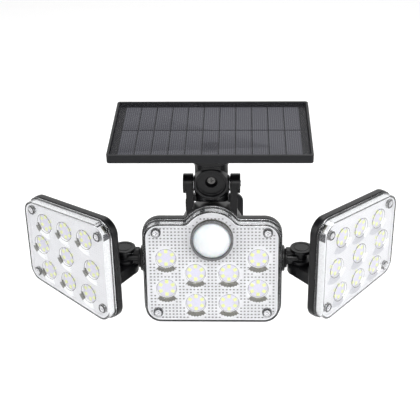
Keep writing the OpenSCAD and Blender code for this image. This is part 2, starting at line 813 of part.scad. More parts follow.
module battery_cradle() color([0.12, 0.12, 0.13]) in_main() {
    mid_d = hump_d - shell_wall - cradle_wall - cell_r;
    half = cell_r + cradle_wall;
    translate([battery_x, mid_d, battery_mid_h]) difference() {
        block(-half, half, 0, half, -cradle_len / 2, cradle_len / 2);
        rod_z(cell_r, -cradle_len / 2 - over, cradle_len / 2 + over);
    }
}

// The switch stands on two posts of its own in front of the button
module button_switch() color([0.15, 0.15, 0.16]) in_main() translate([button_x, 0, button_mid_h]) {
    rear = hump_d - shell_wall - button_flange_t - button_set;
    stem_rear = rear - button_travel - button_set;
    half = switch_w / 2;
    body_rear = stem_rear - switch_stem_t;
    block(-half, half, body_rear - switch_t, body_rear, -half, half);
    rod_y(switch_stem_r, body_rear, stem_rear);
    rod_y(switch_w / 3, control_d, body_rear - switch_t);
}

module mode_button() color([0.3, 0.3, 0.31]) in_main() translate([button_x, 0, button_mid_h]) {
    rear = hump_d - shell_wall - button_set;
    rod_y(button_r, rear - button_flange_t, hump_d + button_reach);
    rod_y(button_flange_r, rear - button_flange_t, rear);
}

// Knuckle between the main head and the panel

module tilt_bolt() color([0.7, 0.7, 0.72]) in_main() translate([0, tilt_d, tilt_h])
    cross_bolt(ear_end - bolt_head_t, ear_end - nut_t);
module tilt_nut() color([0.7, 0.7, 0.72]) in_main() translate([0, tilt_d, tilt_h])
    cross_nut(ear_end - nut_t);

module knuckle_block() color([0.05, 0.05, 0.06]) in_knuckle() difference() {
    half = tongue_t / 2;
    union() {
        intersection() {
            rod_z(stem_r, -stem_end_r, tongue_low);
            rod_x(stem_end_r, -stem_r - over, stem_r + over);
        }
        block(-tongue_half, tongue_half, -half, half, tongue_low - over, shoulder_h);
        translate([0, 0, roll_h]) rod_y(tongue_r, -half, half);
    }
    rod_x(bolt_r + run_gap, -tongue_half - over, tongue_half + over);
    translate([0, 0, roll_h]) rod_y(roll_screw_r + run_gap, -half - over, half + over);
}

module tilt_washers() color([0.6, 0.6, 0.62]) in_knuckle() for (s = [-1, 1]) difference() {
    near = tongue_half + washer_gap;
    rod_x(washer_r, s < 0 ? -near - washer_t : near, s < 0 ? -near : near + washer_t);
    rod_x(bolt_r + run_gap, -ear_inner, ear_inner);
}

// Places of the four screws between the dish and the panel
module round_neck() for (a = [45 : 90 : 315]) rotate([0, 0, a])
    translate([neck_screw_pcd_r, 0, 0]) children();

// Column, round boss and dish in one moulding
module panel_neck() color([0.05, 0.05, 0.06]) in_knuckle() {
    slot_half = tongue_t / 2 + tongue_gap;
    face = boss_reach - boss_dish;
    difference() {
        union() {
            intersection() {
                rod_z(neck_r, neck_low - over, cup_low + cup_bevel);
                union() {
                    translate([0, 0, roll_h]) rod_y(neck_r, -neck_r - over, neck_r + over);
                    block(-neck_r - over, neck_r + over, -neck_r - over, neck_r + over, roll_h, cup_top);
                }
            }
            translate([0, 0, roll_h]) rod_y(boss_r, -boss_reach, 0);
            rotate_extrude($fn = fine) polygon([[0, cup_low], [cup_r - cup_bevel, cup_low],
                [cup_r, cup_low + cup_bevel], [cup_r, cup_top - cup_flange_t],
                [cup_flange_r, cup_top - cup_flange_t], [cup_flange_r, cup_top], [0, cup_top]]);
        }
        block(-cup_r, cup_r, -slot_half, slot_half, neck_low - over, roll_h + tongue_r + slot_clear);
        translate([0, 0, roll_h]) {
            rod_y(boss_dish_r, -boss_reach - over, -face);
            rod_y(boss_well_r, -face - over, boss_well - face);
            rod_y(roll_screw_r, -face - over, neck_r + over);
            rod_y(roll_nut_r + run_gap, neck_r - roll_nut_t, neck_r + over);
        }
        round_neck() rod_z(neck_screw_r, cup_low, cup_top + over);
    }
}

module roll_screw() color([0.75, 0.75, 0.77]) in_knuckle() translate([0, 0, roll_h]) {
    seat = boss_reach - boss_dish - boss_well;
    rod_y(roll_screw_r, -seat, neck_r);
    difference() {
        rod_y(roll_head_r, -seat - roll_head_t, -seat);
        slit = roll_head_r / 4;
        arm = roll_head_r * 0.6;
        block(-arm, arm, -seat - roll_head_t - over, -seat - roll_head_t / 2, -slit / 2, slit / 2);
        block(-slit / 2, slit / 2, -seat - roll_head_t - over, -seat - roll_head_t / 2, -arm, arm);
    }
}

module roll_nut() color([0.75, 0.75, 0.77]) in_knuckle() translate([0, 0, roll_h]) difference() {
    translate([0, neck_r, 0]) rotate([90, 0, 0]) cylinder(r = roll_nut_r, h = roll_nut_t, $fn = 6);
    rod_y(roll_screw_r, neck_r - roll_nut_t - over, neck_r + over);
}

module neck_screws() color([0.6, 0.6, 0.62]) in_knuckle() round_neck() {
    rod_z(neck_screw_r, cup_top - cup_flange_t, cup_top + neck_screw_grip);
    rod_z(neck_screw_head_r, cup_top - cup_flange_t - neck_screw_head_t, cup_top - cup_flange_t);
}

// Solar panel, drawn with its top face at height zero

module panel_outline(inset) {
    x = panel_w / 2 - panel_corner_r;
    y = panel_l / 2 - panel_corner_r;
    rounded([[-x, -y], [x, -y], [x, y], [-x, y]], panel_corner_r - inset);
}

module panel_frame() color([0.16, 0.16, 0.17]) in_panel() difference() {
    translate([0, 0, -panel_t]) linear_extrude(height = panel_t) panel_outline(0);
    translate([0, 0, panel_floor - panel_t]) linear_extrude(height = panel_t) panel_outline(panel_rim);
    translate([0, -neck_lead, -panel_t]) round_neck() rod_z(neck_screw_r, -over, neck_screw_grip);
}

module panel_backing() color([0.1, 0.1, 0.12]) in_panel() translate([0, 0, panel_floor - panel_t])
    linear_extrude(height = backing_t) panel_outline(panel_rim + seat_gap);

module panel_cells() color([0.3, 0.3, 0.36]) in_panel() {
    wide = panel_w - 2 * cell_side_margin;
    deep = panel_l - 2 * (panel_rim + cell_end_margin);
    cell_w = (wide - (cell_cols - 1) * cell_gap) / cell_cols;
    cell_l = (deep - cell_row_gap) / 2;
    under = panel_floor - panel_t + backing_t;
    for (i = [0 : cell_cols - 1], j = [0, 1])
        translate([i * (cell_w + cell_gap) - wide / 2, j * (cell_l + cell_row_gap) - deep / 2, under])
            cube([cell_w, cell_l, cell_t]);
}

module panel_glass() color([0.6, 0.62, 0.68, 0.35]) in_panel()
    translate([0, 0, -panel_rim_lip - panel_glass_t])
        linear_extrude(height = panel_glass_t) panel_outline(panel_rim + seat_gap);

// Arms

module arm(s) in_arm(s) difference() {
    union() {
        difference() {
            union() {
                rod_x(core_r, core_x - over, hinge_x);
                block(core_x - over, hinge_x, -web_half, web_half, -arm_under, arm_top);
                block(core_x - over, hinge_x, -rail_half, rail_half, arm_top - rail_t, arm_top);
                block(core_x - over, hinge_x, -lower_rail_half, lower_rail_half,
                    -arm_under, plate_t - arm_under);
            }
            block(core_x, hinge_x + over, -core_r - over, core_r + over, -collar_r, -arm_under);
        }
        rod_x(spigot_r, spigot_x + turn_gap, collar_x + over);
        rod_x(collar_r, collar_x, core_x);
        translate([hinge_x, 0, 0]) rod_z(plate_r, -arm_under, plate_t - arm_under);
        translate([hinge_x, 0, 0]) rod_z(plate_r, arm_top - rail_t, arm_top);
        translate([hinge_x, 0, 0]) rod_z(barrel_r, -arm_under, arm_top);
    }
    translate([hinge_x, 0, 0]) rod_z(bolt_r + run_gap, -arm_under - over, arm_top + over);
    rod_x(arm_screw_r, spigot_x - over, spigot_x + arm_screw_grip);
}

// Screw and washer that keep the spigot in its socket
module arm_screw(s) in_arm(s) {
    seat = spigot_x - socket_end_t - turn_gap;
    rod_x(arm_screw_r, seat - arm_washer_t, spigot_x + arm_screw_grip);
    rod_x(arm_washer_r, seat - arm_washer_t, seat);
    rod_x(arm_screw_head_r, seat - 3 * arm_washer_t, seat - arm_washer_t);
}

// Round cap and its pin, pressed into the pod
module hinge_pin(s) in_side(s) {
    low = arm_top + turn_gap;
    difference() {
        rod_z(cap_r, low, low + cap_t);
        difference() {
            rod_z(cap_r * 0.72, low + cap_t * 0.7, low + cap_t + over);
            rod_z(cap_r * 0.62, low, low + cap_t + over);
        }
    }
    rod_z(bolt_r, -pod_top - pod_h / 2, low);
}

module left_arm() color([0.05, 0.05, 0.06]) arm(-1);
module right_arm() color([0.05, 0.05, 0.06]) arm(1);
module left_arm_screw() color([0.7, 0.7, 0.72]) arm_screw(-1);
module right_arm_screw() color([0.7, 0.7, 0.72]) arm_screw(1);
module left_hinge_pin() color([0.08, 0.08, 0.09]) hinge_pin(-1);
module right_hinge_pin() color([0.08, 0.08, 0.09]) hinge_pin(1);

// Side heads

module side_housing(s) difference() {
    pod_low = -pod_top - pod_h;
    pod_end = -rear_y - shell_wall / 2;
    union() {
        in_face(s) difference() {
            depth(shell_front, shell_d) outline("side", 0);
            room("side");
        }
        in_face(s) bosses("side");
        in_side(s) {
            rod_z(pod_r, pod_low, -pod_top);
            translate([-pod_r, 0, 0]) rotate([90, 0, 90]) linear_extrude(height = 2 * pod_r)
                polygon([[0, -pod_top], [0, pod_low], [pod_end, pod_low - pod_drop], [pod_end, -pod_top]]);
        }
    }
    in_side(s) rod_z(bolt_r, -pod_top - pod_h / 2, over);
    in_face(s) boss_holes("side");
}

module left_housing() color([0.05, 0.05, 0.06]) side_housing(-1);
module left_gasket() color([0.02, 0.02, 0.02]) in_face(-1) gasket("side");
module left_cover() color([0.9, 0.92, 0.95, 0.4]) in_face(-1) cover("side");
module left_reflector() color([0.95, 0.95, 0.95]) in_face(-1)
    reflector("side", left_slot_start, left_slot_end);
module left_led_board() color([0.35, 0.36, 0.3]) in_face(-1) led_board("side");
module left_leds() color([0.9, 0.92, 0.55]) in_face(-1) leds("side");
module left_cover_screws() color([0.7, 0.7, 0.72]) in_face(-1) cover_screws("side");
module right_housing() color([0.05, 0.05, 0.06]) side_housing(1);
module right_gasket() color([0.02, 0.02, 0.02]) in_face(1) gasket("side");
module right_cover() color([0.9, 0.92, 0.95, 0.4]) in_face(1) cover("side");
module right_reflector() color([0.95, 0.95, 0.95]) in_face(1) reflector("side", slot_start, slot_end);
module right_led_board() color([0.35, 0.36, 0.3]) in_face(1) led_board("side");
module right_leds() color([0.9, 0.92, 0.55]) in_face(1) leds("side");
module right_cover_screws() color([0.7, 0.7, 0.72]) in_face(1) cover_screws("side");

wall_bracket();
wall_pivot_bolt();
wall_pivot_nut();
main_housing();
main_gasket();
main_cover();
main_reflector();
main_led_board();
main_leds();
main_cover_screws();
sensor_ring();
sensor_dome();
sensor_element();
control_board();
control_parts();
battery_cell();
battery_cradle();
button_switch();
mode_button();
tilt_bolt();
tilt_nut();
knuckle_block();
tilt_washers();
panel_neck();
roll_screw();
roll_nut();
neck_screws();
panel_frame();
panel_backing();
panel_cells();
panel_glass();
left_arm();
left_arm_screw();
left_hinge_pin();
left_housing();
left_gasket();
left_cover();
left_reflector();
left_led_board();
left_leds();
left_cover_screws();
right_arm();
right_arm_screw();
right_hinge_pin();
right_housing();
right_gasket();
right_cover();
right_reflector();
right_led_board();
right_leds();
right_cover_screws();
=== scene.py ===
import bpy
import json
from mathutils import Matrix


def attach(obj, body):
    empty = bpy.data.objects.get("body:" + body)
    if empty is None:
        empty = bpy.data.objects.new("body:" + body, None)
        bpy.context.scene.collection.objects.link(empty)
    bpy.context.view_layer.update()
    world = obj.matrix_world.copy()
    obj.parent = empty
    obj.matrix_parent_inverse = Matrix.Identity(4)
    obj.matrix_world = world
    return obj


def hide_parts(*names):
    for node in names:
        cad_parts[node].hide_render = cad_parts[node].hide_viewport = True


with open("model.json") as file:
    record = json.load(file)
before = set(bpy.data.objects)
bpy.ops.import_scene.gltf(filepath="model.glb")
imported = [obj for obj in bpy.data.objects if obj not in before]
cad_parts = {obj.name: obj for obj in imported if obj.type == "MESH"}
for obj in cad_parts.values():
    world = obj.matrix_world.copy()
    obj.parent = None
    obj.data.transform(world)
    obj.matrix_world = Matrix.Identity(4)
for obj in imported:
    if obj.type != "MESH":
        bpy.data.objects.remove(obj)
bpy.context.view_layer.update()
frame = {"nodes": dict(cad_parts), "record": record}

import json
import math

import bmesh
import bpy
from mathutils import Matrix, Vector

# Wall bracket: a pressed steel plate with a welded tongue, powder coated black. Four
# screws hold the plate to the wall, and the tongue's round end carries the main
# head's two lugs on a bolt.
MM = 0.001
# The millimetres to one unit of a piece's map.
chart_span = 100.0
nodes = frame["nodes"]
owners = {node: body for body, held in frame["record"]["behaviour"]["bodies"].items() for node in held}


class Signal:
    """One output of a node; arithmetic on it adds the Math nodes."""

    def __init__(self, wiring, socket):
        self.wiring, self.socket = wiring, socket

    def _join(self, operation, left, right=None, clamp=False):
        values = {0: left} if right is None else {0: left, 1: right}
        return self.wiring.add("ShaderNodeMath", {"operation": operation, "use_clamp": clamp}, values)

    def also(self, out):
        """Another output of the same node."""
        return Signal(self.wiring, self.socket.node.outputs[out])

    def __add__(self, other):
        return self._join("ADD", self, other)

    def __radd__(self, other):
        return self._join("ADD", other, self)

    def __sub__(self, other):
        return self._join("SUBTRACT", self, other)

    def __rsub__(self, other):
        return self._join("SUBTRACT", other, self)

    def __mul__(self, other):
        return self._join("MULTIPLY", self, other)

    def __rmul__(self, other):
        return self._join("MULTIPLY", other, self)

    def __gt__(self, other):
        return self._join("GREATER_THAN", self, other)

    def __lt__(self, other):
        return self._join("LESS_THAN", self, other)

    def __abs__(self):
        return self._join("ABSOLUTE", self)

    def __mod__(self, other):
        return self._join("FLOORED_MODULO", self, other)

    def most(self, other):
        return self._join("MAXIMUM", self, other)

    def held(self):
        return self._join("ADD", self, 0.0, clamp=True)

    def inside(self, half):
        """One where the value lies within half of zero."""
        return abs(self) < half


class Wiring:
    """A node tree and the one way that nodes are added to it."""

    def __init__(self, tree):
        self.tree = tree

    def add(self, kind, settings=None, values=None, out=0):
        node = self.tree.nodes.new(kind)
        for key, value in (settings or {}).items():
            setattr(node, key, value)
        for key, value in (values or {}).items():
            self.put(node.inputs[key], value)
        return Signal(self, node.outputs[out])

    def put(self, socket, value):
        if isinstance(value, Signal):
            self.tree.links.new(value.socket, socket)
        elif isinstance(value, tuple) and len(value) == 3 and socket.type == "RGBA":
            socket.default_value = (*value, 1.0)
        else:
            socket.default_value = value

    def spread(self, value, low, high):
        """Stretches a value from 0 to 1 over another range."""
        return self.add("ShaderNodeMapRange", {"clamp": True},
                        {"Value": value, "To Min": low, "To Max": high})


class Finish(Wiring):
    """A node material around one Principled shader."""

    def __init__(self, name, **constants):
        self.material = bpy.data.materials.new(name)
        self.material.use_nodes = True
        super().__init__(self.material.node_tree)
        self.shader = self.tree.nodes["Principled BSDF"]
        self.output = self.tree.nodes["Material Output"]
        for key, value in constants.items():
            self.drive(key.replace("_", " "), value)

    def drive(self, name, value):
        self.put(self.shader.inputs[name], value)

    def here(self):
        """Object coordinates in metres."""
        return self.add("ShaderNodeTexCoord", out="Object")

    def noise(self, scale, detail=3.0, roughness=0.5):
        return self.add("ShaderNodeTexNoise", None,
                        {"Vector": self.here(), "Scale": scale, "Detail": detail, "Roughness": roughness})

    def blend(self, factor, first, second):
        """Mixes two colours; sockets 6 and 7 and output 2 are the node's colour ones."""
        return self.add("ShaderNodeMix", {"data_type": "RGBA"},
                        {"Factor": factor, 6: first, 7: second}, out=2)

    def chart(self):
        """The piece's own sideways and height values in millimetres, from its map named plan."""
        spot = self.add("ShaderNodeUVMap", {"uv_map": "plan"})
        across = self.add("ShaderNodeSeparateXYZ", None, {0: spot}, out="X")
        return across * chart_span, across.also("Y") * chart_span

    def grain(self, height, strength, distance):
        bump = self.add("ShaderNodeBump", None,
                        {"Height": height, "Strength": strength, "Distance": distance})
        self.drive("Normal", bump)


weld_reach, flat_turn = 1e-6, math.radians(0.3)
smooth_below, sharp_above = math.radians(35.0), math.radians(28.0)


def shown(bm, name, body, finish, replaced=(), layout=None):
    """Makes a piece of a bmesh in the shared frame.

    The matrix layout turns its places into the head's or panel's own millimetres, for its map."""
    if layout:
        chart = bm.loops.layers.uv.new("plan")
        for face in bm.faces:
            for corner in face.loops:
                spot = layout @ corner.vert.co
                corner[chart].uv = (spot.x / chart_span, spot.z / chart_span)
    mesh = bpy.data.meshes.new(name)
    bm.to_mesh(mesh)
    bm.free()
    mesh.materials.append(finish.material)
    mesh.shade_smooth()
    mesh.set_sharp_from_angle(angle=smooth_below)
    piece = bpy.data.objects.new(name, mesh)
    bpy.context.scene.collection.objects.link(piece)
    even = piece.modifiers.new("even_faces", "WEIGHTED_NORMAL")
    even.keep_sharp = True
    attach(piece, body)
    if replaced:
        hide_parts(*replaced)


def round_edges(bm, edges, size, segments=2):
    bmesh.ops.bevel(bm, geom=edges, offset=size, offset_type="OFFSET", segments=segments, profile=0.5,
                    affect="EDGES", clamp_overlap=False, material=-1)


def moulded(*names, edge, finish, slot, layout=None, segments=2, pierced=False, broad=None, broad_edge=0.0):
    """Copies a solid and rounds its sharp edges, as its mould, die or file leaves them.

    A pierced solid, with a face full of holes, keeps its triangles. Edges that broad picks get
    a larger rounding, with two segments more."""
    for name in names:
        copy = bmesh.new()
        copy.from_mesh(nodes[name].data)
        bmesh.ops.remove_doubles(copy, verts=copy.verts, dist=weld_reach)
        if not pierced:
            bmesh.ops.dissolve_limit(copy, angle_limit=flat_turn, verts=copy.verts, edges=copy.edges)
        hard = [e for e in copy.edges if e.is_manifold and e.calc_face_angle(0.0) > sharp_above]
        if broad:
            picked = [e for e in hard if broad((e.verts[0].co + e.verts[1].co) / 2)]
            round_edges(copy, picked, broad_edge * MM, segments + 2)
            hard = [e for e in hard if e.is_valid]
        round_edges(copy, hard, edge * MM, segments)
        shown(copy, name + "_shape", owners[name], finish, (name,), layout)


powder_coat = Finish("powder_coat", IOR=1.5)
specks = powder_coat.noise(2600.0, 2.0, 0.6)
powder_coat.drive("Base Color", powder_coat.blend(specks, (0.014, 0.014, 0.016), (0.024, 0.024, 0.027)))
powder_coat.drive("Roughness", powder_coat.spread(powder_coat.noise(90.0), 0.42, 0.58))
powder_coat.grain(specks, 0.25, 0.00025)
moulded("wall_bracket", edge=0.6, finish=powder_coat, slot="bracket_black")

# Bolts, nuts, washers and screws that hold the pivots, the neck and the arms together:
# zinc-plated steel, turned and stamped. The roll screw in front has a section further on.
zinc = Finish("zinc_steel", Metallic=1.0)
turning = zinc.noise(900.0, 4.0, 0.6)
zinc.drive("Base Color", zinc.blend(turning, (0.42, 0.42, 0.43), (0.62, 0.62, 0.63)))
zinc.drive("Roughness", zinc.spread(zinc.noise(400.0), 0.22, 0.40))
moulded("wall_pivot_bolt", "wall_pivot_nut", "tilt_bolt", "tilt_nut", "tilt_washers", "roll_nut",
        "neck_screws", "left_arm_screw", "right_arm_screw", edge=0.25, finish=zinc, slot="bolt_steel")

# Main housing: one black ABS moulding with soft edges, a shallow tray with a round
# hump behind the sensor, two ears for the panel, two arm sockets and two wall lugs.
black_abs = Finish("black_abs", IOR=1.5, Specular_IOR_Level=0.28)
flow = black_abs.noise(60.0, 2.0)
black_abs.drive("Base Color", black_abs.blend(flow, (0.0035, 0.0035, 0.0042), (0.0065, 0.0065, 0.0072)))
black_abs.drive("Roughness", black_abs.spread(black_abs.noise(130.0), 0.24, 0.34))
black_abs.grain(black_abs.noise(1500.0, 3.0, 0.6), 0.08, 0.0002)
moulded("main_housing", edge=0.8, finish=black_abs, slot="black_plastic")

# Gaskets: flat black silicone rings, cut from sheet and pressed between each cover
# and its housing. They carry a fine dull bloom.
rubber = Finish("silicone_rubber", Specular_IOR_Level=0.3)
bloom = rubber.noise(700.0, 4.0, 0.7)
rubber.drive("Base Color", rubber.blend(bloom, (0.008, 0.008, 0.008), (0.018, 0.018, 0.018)))
rubber.drive("Roughness", rubber.spread(bloom, 0.6, 0.8))
moulded("main_gasket", "left_gasket", "right_gasket", edge=0.15, finish=rubber, slot="gasket_black")

# LED boards: olive-grey solder mask over glass epoxy, with a pale lilac heat-spreader
# disc under every ring of six LEDs. Each board rests on its housing's posts.
olive_board = Finish("olive_board", IOR=1.5)
weave = olive_board.noise(1100.0, 2.0, 0.5)
olive_board.drive("Base Color", olive_board.blend(weave, (0.085, 0.083, 0.062), (0.15, 0.147, 0.115)))
olive_board.drive("Roughness", olive_board.spread(weave, 0.35, 0.5))


def wear(*names, finish):
    """Gives solids that keep their own mesh their material."""
    for name in names:
        nodes[name].data.materials.clear()
        nodes[name].data.materials.append(finish.material)


wear("main_led_board", "left_led_board", "right_led_board", finish=olive_board)

# The main head stands on the wall pivot, and each side head hangs on an arm. The frames
# turn a head's own millimetres, with depth backwards from the cover's face.
main_tilt, left_pan, right_pan = math.radians(6.0), math.radians(40.0), math.radians(48.5)
wall_reach, pivot_depth = 64.0, 48.0
arm_depth, arm_height, hinge_out = 25.3, 7.7, 95.3
side_out, side_reach, side_rise = 42.4, 47.5, 5.4
in_main = (Matrix.Scale(MM, 4) @ Matrix.Translation((0, -wall_reach, 0)) @ Matrix.Rotation(-main_tilt, 4, "X")
           @ Matrix.Translation((0, -pivot_depth, 0)))


def face_of(sign, pan):
    """A side head's frame: out along its arm to the hinge pin, round it, and on to the face."""
    arm = in_main @ Matrix.Translation((0, arm_depth, arm_height)) @ Matrix.Rotation(main_tilt, 4, "X")
    pivot = arm @ Matrix.Diagonal((sign, 1, 1, 1)) @ Matrix.Translation((hinge_out, 0, 0))
    return pivot @ Matrix.Rotation(pan, 4, "Z") @ Matrix.Translation((side_out, -side_reach, side_rise))


heads = {"main": in_main, "left": face_of(-1, left_pan), "right": face_of(1, right_pan)}
outer_col, inner_col, first_row, col_drop, lens_pitch = 48.9, 17.8, 17.3, 17.5, 35.5
side_col, side_middle, side_row, row_fall_share = 32.0, 40.6, 31.3, 0.0625
main_lenses = [(side * x, h - down) for side in (-1, 1) for down in (0.0, lens_pitch)
               for x, h in ((outer_col, first_row), (inner_col, first_row - col_drop))]
side_lenses = [(col * x, row * (side_row - row_fall_share * col * x))
               for row, x in ((-1, side_col), (0, side_middle), (1, side_col)) for col in (-1, 0, 1)]
lenses = {"main": main_lenses, "left": side_lenses, "right": side_lenses}

disc_round, disc_depth, disc_thick, disc_edge, disc_sides = 10.2, 5.66, 0.25, 0.08, 40
lilac_disc = Finish("lilac_disc", IOR=1.5)
mottle = lilac_disc.noise(500.0, 3.0, 0.6)
lilac_disc.drive("Base Color", lilac_disc.blend(mottle, (0.60, 0.58, 0.71), (0.73, 0.71, 0.83)))
lilac_disc.drive("Roughness", lilac_disc.spread(mottle, 0.3, 0.45))
upright = Matrix.Rotation(math.pi / 2, 4, "X")
for head in heads:
    discs = bmesh.new()
    for x, h in lenses[head]:
        place = Matrix.Translation((x, disc_depth, h))
        bmesh.ops.create_cone(discs, cap_ends=True, segments=disc_sides, radius1=disc_round,
                              radius2=disc_round, depth=disc_thick, matrix=place @ upright)
    rims = [e for e in discs.edges if e.calc_face_angle(0.0) > sharp_above]
    round_edges(discs, rims, disc_edge, segments=1)
    bmesh.ops.transform(discs, matrix=heads[head], verts=discs.verts)
    bmesh.ops.recalc_face_normals(discs, faces=discs.faces)
    shown(discs, head + "_heat_discs", head + "_head", lilac_disc)

# LEDs: six small white packages in a ring under each lens, each filled with pale
# yellow phosphor.
phosphor = Finish("yellow_phosphor", IOR=1.45)
fill_grain = phosphor.noise(1800.0, 2.0, 0.5)
phosphor.drive("Base Color", phosphor.blend(fill_grain, (0.74, 0.80, 0.28), (0.88, 0.90, 0.42)))
phosphor.drive("Roughness", phosphor.spread(fill_grain, 0.3, 0.5))
moulded("main_leds", "left_leds", "right_leds", edge=0.3, finish=phosphor, slot="led_yellow")

# Reflectors: glossy white mouldings with a round window for every LED ring and a
# curved slot below it, over the dark board.
gloss_white = Finish("gloss_white", IOR=1.5, Coat_Weight=0.5, Coat_Roughness=0.05)
cloud = gloss_white.noise(160.0, 3.0, 0.55)
gloss_white.drive("Base Color", gloss_white.blend(cloud, (0.76, 0.755, 0.765), (0.86, 0.855, 0.865)))
gloss_white.drive("Roughness", gloss_white.spread(gloss_white.noise(700.0), 0.18, 0.32))
moulded("main_reflector", "left_reflector", "right_reflector", edge=0.3, finish=gloss_white,
        slot="reflector_white", pierced=True)

# Painted reflections: thin plates laid over the reflectors' slots, one beside each lens. The dark
# ones under the main and left heads' lenses and the grey ones under the right head's are painted
# reflections of the dark room in the lenses' domes; the white ones beside them are painted reflections of the
# bright lamps.
# Painted reflection: dark olive-grey colour for the dark room mirrored in the domes.
dark_reflection = Finish("painted_dark_reflection", IOR=1.5)
dark_reflection_tone = dark_reflection.noise(420.0, 3.0, 0.6)
dark_reflection.drive("Base Color", dark_reflection.blend(dark_reflection_tone, (0.10, 0.096, 0.078), (0.15, 0.145, 0.12)))
dark_reflection.drive("Roughness", dark_reflection.spread(dark_reflection_tone, 0.3, 0.45))
# Painted reflection: grey colour for the dark room mirrored in the right head's domes.
grey_reflection = Finish("painted_grey_reflection", IOR=1.5)
grey_reflection_tone = grey_reflection.noise(300.0, 3.0, 0.6)
grey_reflection.drive("Base Color", grey_reflection.blend(grey_reflection_tone, (0.44, 0.44, 0.47), (0.56, 0.56, 0.59)))
grey_reflection.drive("Roughness", grey_reflection.spread(grey_reflection_tone, 0.25, 0.4))
# Painted reflection: near-white colour for the lamps mirrored in the domes.
bright_reflection = Finish("painted_bright_reflection", IOR=1.5)
bright_reflection_tone = bright_reflection.noise(700.0, 3.0, 0.5)
bright_reflection.drive("Base Color", bright_reflection.blend(bright_reflection_tone, (0.95, 0.95, 0.95), (0.985, 0.985, 0.985)))
bright_reflection.drive("Roughness", bright_reflection.spread(bright_reflection_tone, 0.4, 0.55))
plate_front, plate_thick = 4.45, 0.2


def sector(first, last, inner, outer, teeth=0, bite=0.0, steps=30):
    """Outline of a piece of a ring between two angles in degrees; teeth are bitten into its outer edge."""
    turns = [math.radians(first + (last - first) * i / steps) for i in range(steps + 1)]
    edge = [outer - bite * abs(math.sin(math.pi * teeth * i / steps)) for i in range(steps + 1)]
    rim = [(inner * math.cos(a), inner * math.sin(a)) for a in turns]
    return rim + [(r * math.cos(a), r * math.sin(a)) for r, a in reversed(list(zip(edge, turns)))]


def plates(head, title, outline, finish):
    """Lays a plate of one outline beside each lens of a head, as a painted reflection."""
    reflection_sheet = bmesh.new()
    for x, h in lenses[head]:
        reflection_sheet.faces.new([reflection_sheet.verts.new((x + a, plate_front, h + b)) for a, b in outline])
    raised = bmesh.ops.extrude_face_region(reflection_sheet, geom=reflection_sheet.faces[:])
    bmesh.ops.translate(reflection_sheet, vec=(0.0, plate_thick, 0.0),
                        verts=[v for v in raised["geom"] if isinstance(v, bmesh.types.BMVert)])
    bmesh.ops.transform(reflection_sheet, matrix=heads[head], verts=reflection_sheet.verts)
    bmesh.ops.recalc_face_normals(reflection_sheet, faces=reflection_sheet.faces)
    shown(reflection_sheet, head + title, head + "_head", finish)


# Each plate laid here is a painted reflection, not a part of the light.
dark_reflection_arc = sector(first=231, last=309, inner=10.9, outer=17.6, teeth=7, bite=1.6)
plates("main", "_painted_dark_reflections", dark_reflection_arc, dark_reflection)
plates("left", "_painted_dark_reflections", sector(first=311, last=334, inner=10.5, outer=20.2), dark_reflection)
plates("left", "_painted_bright_reflections", sector(first=256, last=309, inner=10.5, outer=19.6), bright_reflection)
plates("right", "_painted_grey_reflections", sector(first=230, last=300, inner=10.5, outer=19.4), grey_reflection)
plates("right", "_painted_bright_reflections", sector(first=303, last=336, inner=10.5, outer=20.0), bright_reflection)

# Edge films: strips of white film wrapped round each reflector. They fill the gap to
# the cover's wall, keep the LEDs' light in, and are cut from sheet and pushed in.
# Each painted dark reflection is a place on the film, sideways and up, and its radius.
dark_reflection_spots = {"main": ((-56.8, 53.6, 3.0), (-27.9, 55.4, 2.4), (-19.0, 63.2, 1.6), (-9.0, 67.8, 2.6),
                  (18.0, 63.6, 2.0)),
         "left": ((-51.1, 55.4, 2.8), (-61.1, 45.4, 3.2)), "right": ((-61.2, 44.4, 5.0),)}


def film_finish(head):
    """White film with painted dark reflections: round dark patches for the dark room mirrored in the
    reflector's wall.
    """
    film = Finish(head + "_film", IOR=1.5, Coat_Weight=0.3)
    film_tone = film.noise(500.0, 3.0, 0.5)
    across, along = film.chart()
    dark_reflection_mask = across * 0.0
    for x, h, reach in dark_reflection_spots[head]:
        off_x, off_h = across - x, along - h
        dark_reflection_mask = dark_reflection_mask.most((off_x * off_x + off_h * off_h) < reach * reach)
    white = film.blend(film_tone, (0.78, 0.78, 0.78), (0.92, 0.92, 0.92))
    # Painted reflection: the round dark patches are painted onto the white film.
    film.drive("Base Color", film.blend(dark_reflection_mask, white, (0.03, 0.03, 0.035)))
    film.drive("Roughness", film.spread(film_tone, 0.2, 0.35))
    return film


main_corner_x, main_corner_h, main_round = 55.3, 40.7, 19.0
bump_height, bump_round = 40.6, 33.9
side_corner, side_round, inner_half, outer_half = 49.0, 17.0, 43.3, 35.0
far_inside = 99.0


def corner_room(over_x, over_h, rounding):
    """Distance in from an outline with rounded corners; places well inside count as far from it."""
    if max(over_x, over_h) <= 0.0:
        return far_inside
    return rounding - math.hypot(max(over_x, 0.0), max(over_h, 0.0))


def edge_room(head, x, h):
    """Distance from a place in to the edge of a head's outline."""
    if head == "main":
        box = corner_room(abs(x) - main_corner_x, abs(h) - main_corner_h, main_round)
        return max(box, bump_round - math.hypot(x, h - bump_height))
    half = (inner_half + outer_half) / 2 - (inner_half - outer_half) / 2 * x / side_corner
    return corner_room(abs(x) - side_corner, abs(h) - half, side_round)


